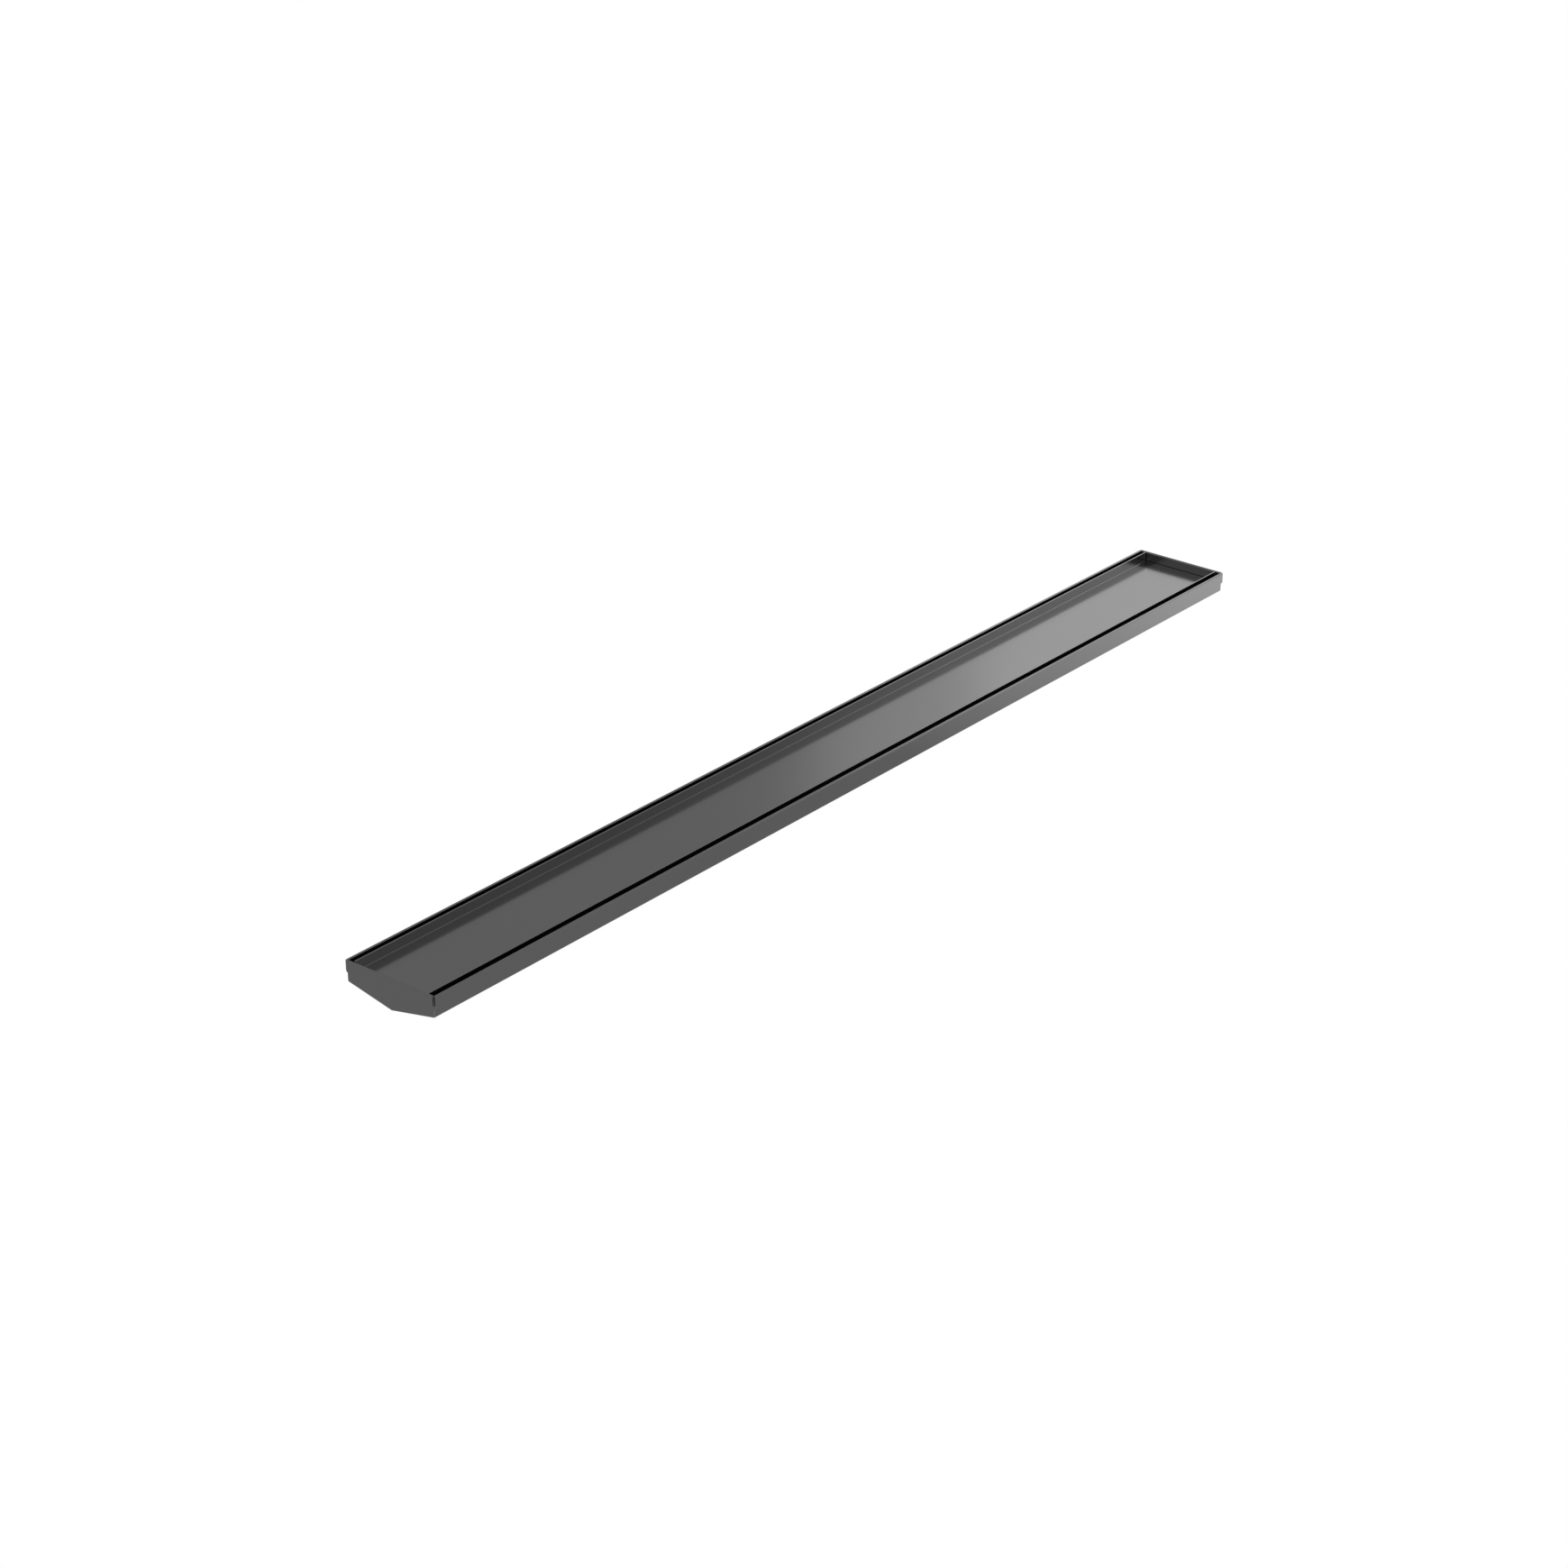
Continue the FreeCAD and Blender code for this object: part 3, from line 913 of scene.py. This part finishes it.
@dataclass
class OutletSpigot:
    """Short tube welded under the floor, with its top cut to the floor's two slopes."""

    levels: Levels
    gauge: float = 0.0012
    deburring: float = 0.0003
    bead_radius: float = 0.0011
    bead_sides: int = 8
    bead_sink: float = 0.3
    bead_ripples: int = 60
    steps_per_ripple: int = 4
    ripple_height: float = 0.12

    @property
    def radius(self) -> float:
        """Outside radius of the tube."""
        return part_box("outlet_spigot")[1].x

    def underside_at(self, across: float) -> float:
        """Level of the floor's underside at a distance from its middle."""
        return self.levels.crease + self.levels.floor_slope * abs(across)

    def build_tube(self) -> bpy.types.Object:
        """Make the tube and dress it.

        Returns:
            The tube.
        """
        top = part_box("outlet_spigot")[1].z
        sheet = SheetMetal(Vector((self.radius, 0, 0)), Vector((self.radius, 0, top)))
        bmesh.ops.spin(sheet.mesh, geom=sheet.front, cent=Vector(), axis=Z,
                       angle=FULL_TURN, steps=ROUND_STEPS, use_merge=True,
                       use_duplicate=False)
        sheet.face_towards(lambda face: face.normal.dot(flat(face.calc_center_median())))
        sheet.thicken(self.gauge)
        sheet.deburr(self.deburring, wanted=lambda edge: max(
            corner.co.z for corner in edge.verts) < WELD_DISTANCE)
        for corner in sheet.mesh.verts:
            corner.co.z = min(corner.co.z, self.underside_at(corner.co.y))
        return make_piece("spigot_tube", sheet.mesh, (SATIN.material(), MATT.material()),
                          "outlet_spigot")

    def build_bead(self) -> bpy.types.Object:
        """Make the rippled weld bead between the tube and the floor.

        Returns:
            The bead, part of which is sunk into the floor.
        """
        mesh = bmesh.new()
        ring = bmesh.ops.create_circle(mesh, cap_ends=False, segments=self.bead_sides,
                                       radius=self.bead_radius)
        upright = Matrix.Rotation(QUARTER_TURN, 4, "X")
        bmesh.ops.transform(mesh, matrix=Matrix.Translation((self.radius, 0, 0)) @ upright,
                            verts=ring["verts"])
        bmesh.ops.spin(mesh, geom=[*mesh.verts, *mesh.edges], cent=Vector(), axis=Z,
                       angle=FULL_TURN, steps=self.steps_per_ripple * self.bead_ripples,
                       use_merge=True, use_duplicate=False)
        bmesh.ops.remove_doubles(mesh, verts=mesh.verts, dist=WELD_DISTANCE)
        bmesh.ops.recalc_face_normals(mesh, faces=mesh.faces)
        for corner in mesh.verts:
            angle = math.atan2(corner.co.y, corner.co.x)
            ripple = 1 + self.ripple_height * math.sin(self.bead_ripples * angle)
            middle = flat(corner.co).normalized() * self.radius
            corner.co = middle + (corner.co - middle) * ripple
            corner.co.z += self.underside_at(middle.y) - self.bead_sink * self.bead_radius
        return make_piece("weld_bead", mesh, (WELD.material(),), "outlet_spigot")


def flat(place: Vector) -> Vector:
    """A place without its height."""
    return Vector((place.x, place.y, 0))


# ---------------------------------------------------------------- studio
def stand(thing: bpy.types.Object, place: Place, aim: Place) -> None:
    """Stand a camera or a light in its place, looking at its aim.

    Args:
        thing: the camera or light, which is put in the scene.
        place: where it stands.
        aim: a point that it looks straight at.
    """
    look = (Vector(aim) - Vector(place)).to_track_quat("-Z", "Y")
    thing.matrix_world = Matrix.Translation(place) @ look.to_matrix().to_4x4()
    bpy.context.scene.collection.objects.link(thing)


@dataclass(frozen=True)
class Softbox:
    """A soft rectangular light."""

    name: str
    place: Place
    aim: Place
    width: float
    height: float
    radiance: float

    def build(self) -> None:
        """Hang the light and point it at its aim."""
        lamp = bpy.data.lights.new(self.name, "AREA")
        lamp.shape = "RECTANGLE"
        lamp.size, lamp.size_y = self.width, self.height
        lamp.energy = math.pi * self.width * self.height * self.radiance
        stand(bpy.data.objects.new(self.name, lamp), self.place, self.aim)


@dataclass
class Studio:
    """Plain pale floor that glows with painted light for the metal, soft light all round
    and from the far end, and the camera.
    """

    camera_place: Place = (-1.7805, -1.4025, 1.0783)
    camera_aim: Place = (-0.0453, 0.0054, 0.0125)
    lens: float = 85.0
    sensor_width: float = 36.0
    camera_range: tuple[float, float] = (0.05, 50.0)
    floor_reach: float = 6.0
    floor_gap: float = 0.0001
    # Painted light of the floor: its glow ramps up along X between these places, to this
    # strength at the far end.
    floor_glow_ramp: tuple[float, float] = (0.06, 0.46)
    floor_far_glow: float = 0.82
    surround: float = 0.275
    # Two lights, the narrower just in front, make one softbox with soft side edges.
    softboxes: tuple[Softbox, ...] = (
        Softbox("far_end_wide", (2.2, 0.0, 1.15), (0.0, 0.0, 1.15), 3.54, 1.5, 0.25),
        Softbox("far_end_core", (2.19, 0.0, 1.15), (0.0, 0.0, 1.15), 2.92, 1.5, 0.28),
    )

    def set_camera(self) -> None:
        """Stand the camera in its place and make it the scene's own."""
        data = bpy.data.cameras.new("camera")
        data.lens, data.sensor_width = self.lens, self.sensor_width
        data.clip_start, data.clip_end = self.camera_range
        camera = bpy.data.objects.new("camera", data)
        stand(camera, self.camera_place, self.camera_aim)
        bpy.context.scene.camera = camera

    def lay_floor(self) -> None:
        """Lay the plain pale floor just under the drain."""
        mesh = bmesh.new()
        bmesh.ops.create_grid(mesh, x_segments=1, y_segments=1, size=self.floor_reach)
        bmesh.ops.translate(mesh, vec=-self.floor_gap * Z, verts=mesh.verts)
        data = bpy.data.meshes.new("floor")
        mesh.to_mesh(data)
        mesh.free()
        data.materials.append(self.floor_material())
        floor = bpy.data.objects.new("floor", data)
        bpy.context.scene.collection.objects.link(floor)

    def floor_material(self) -> bpy.types.Material:
        """White floor to the camera; to the metal it glows, painted light that brightens
        towards the far end.

        Returns:
            The floor's material.
        """
        material = bpy.data.materials.new("pale_floor_with_painted_glow")
        material.use_nodes = True
        material.node_tree.nodes.clear()
        bench = Bench(material.node_tree)
        place = bench.add("TexCoord")
        parts = bench.add("SeparateXYZ")
        start, stop = self.floor_glow_ramp
        along = bench.add("MapRange", From_Min=start, From_Max=stop,
                          To_Min=self.surround, To_Max=self.floor_far_glow)
        # Painted light: the floor's own glow, ramped brighter towards the far end, which
        # the metal mirrors.
        lit = bench.add("Emission", Color=WHITE)
        bench.join(place.outputs["Object"], parts.inputs[0])
        bench.join(parts.outputs["X"], along.inputs["Value"])
        bench.join(along.outputs["Result"], lit.inputs["Strength"])
        self.show_white(bench, lit, bench.add("Emission", Color=WHITE),
                        bench.add("OutputMaterial"))
        return material

    def set_sky(self) -> None:
        """White behind the floor, and the same dim light all round for the metal."""
        world = bpy.data.worlds.new("studio")
        bpy.context.scene.world = world
        world.use_nodes = True
        world.node_tree.nodes.clear()
        bench = Bench(world.node_tree)
        around = bench.add("Background", Color=WHITE, Strength=self.surround)
        self.show_white(bench, around, bench.add("Background", Color=WHITE),
                        bench.add("OutputWorld"))

    @staticmethod
    def show_white(bench: Bench, lit: bpy.types.Node, white: bpy.types.Node,
                   output: bpy.types.Node) -> None:
        """Show plain white as the background, and light the drain with something else.

        Args:
            bench: holds the nodes.
            lit: shader that lights the drain and is mirrored in it.
            white: shader of the background.
            output: node that takes the result.
        """
        rays = bench.add("LightPath")
        mix = bench.add("MixShader")
        bench.join(rays.outputs["Is Camera Ray"], mix.inputs["Fac"])
        bench.join(lit.outputs[0], mix.inputs[1])
        bench.join(white.outputs[0], mix.inputs[2])
        bench.join(mix.outputs[0], output.inputs["Surface"])

    def build(self) -> None:
        """Set up the whole studio."""
        bpy.context.scene.view_settings.view_transform = "Standard"
        self.set_camera()
        self.lay_floor()
        self.set_sky()
        for softbox in self.softboxes:
            softbox.build()


def main() -> None:
    """Build the drain piece by piece, and the studio that it is shown in."""
    logging.basicConfig(level=logging.INFO, format="%(name)s: %(message)s")
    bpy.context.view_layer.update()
    levels = Levels.from_frame()
    Trough(levels).build()
    for end in DrainEnd:
        EndPlate(levels, end).build()
    TileTray().build()
    brackets = sum(name.startswith("tray_bracket_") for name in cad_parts)
    for number in range(1, brackets + 1):
        TrayBracket(levels, number).build()
    spigot = OutletSpigot(levels)
    spigot.build_tube()
    spigot.build_bead()
    Studio().build()


if __name__ == "__main__":
    main()
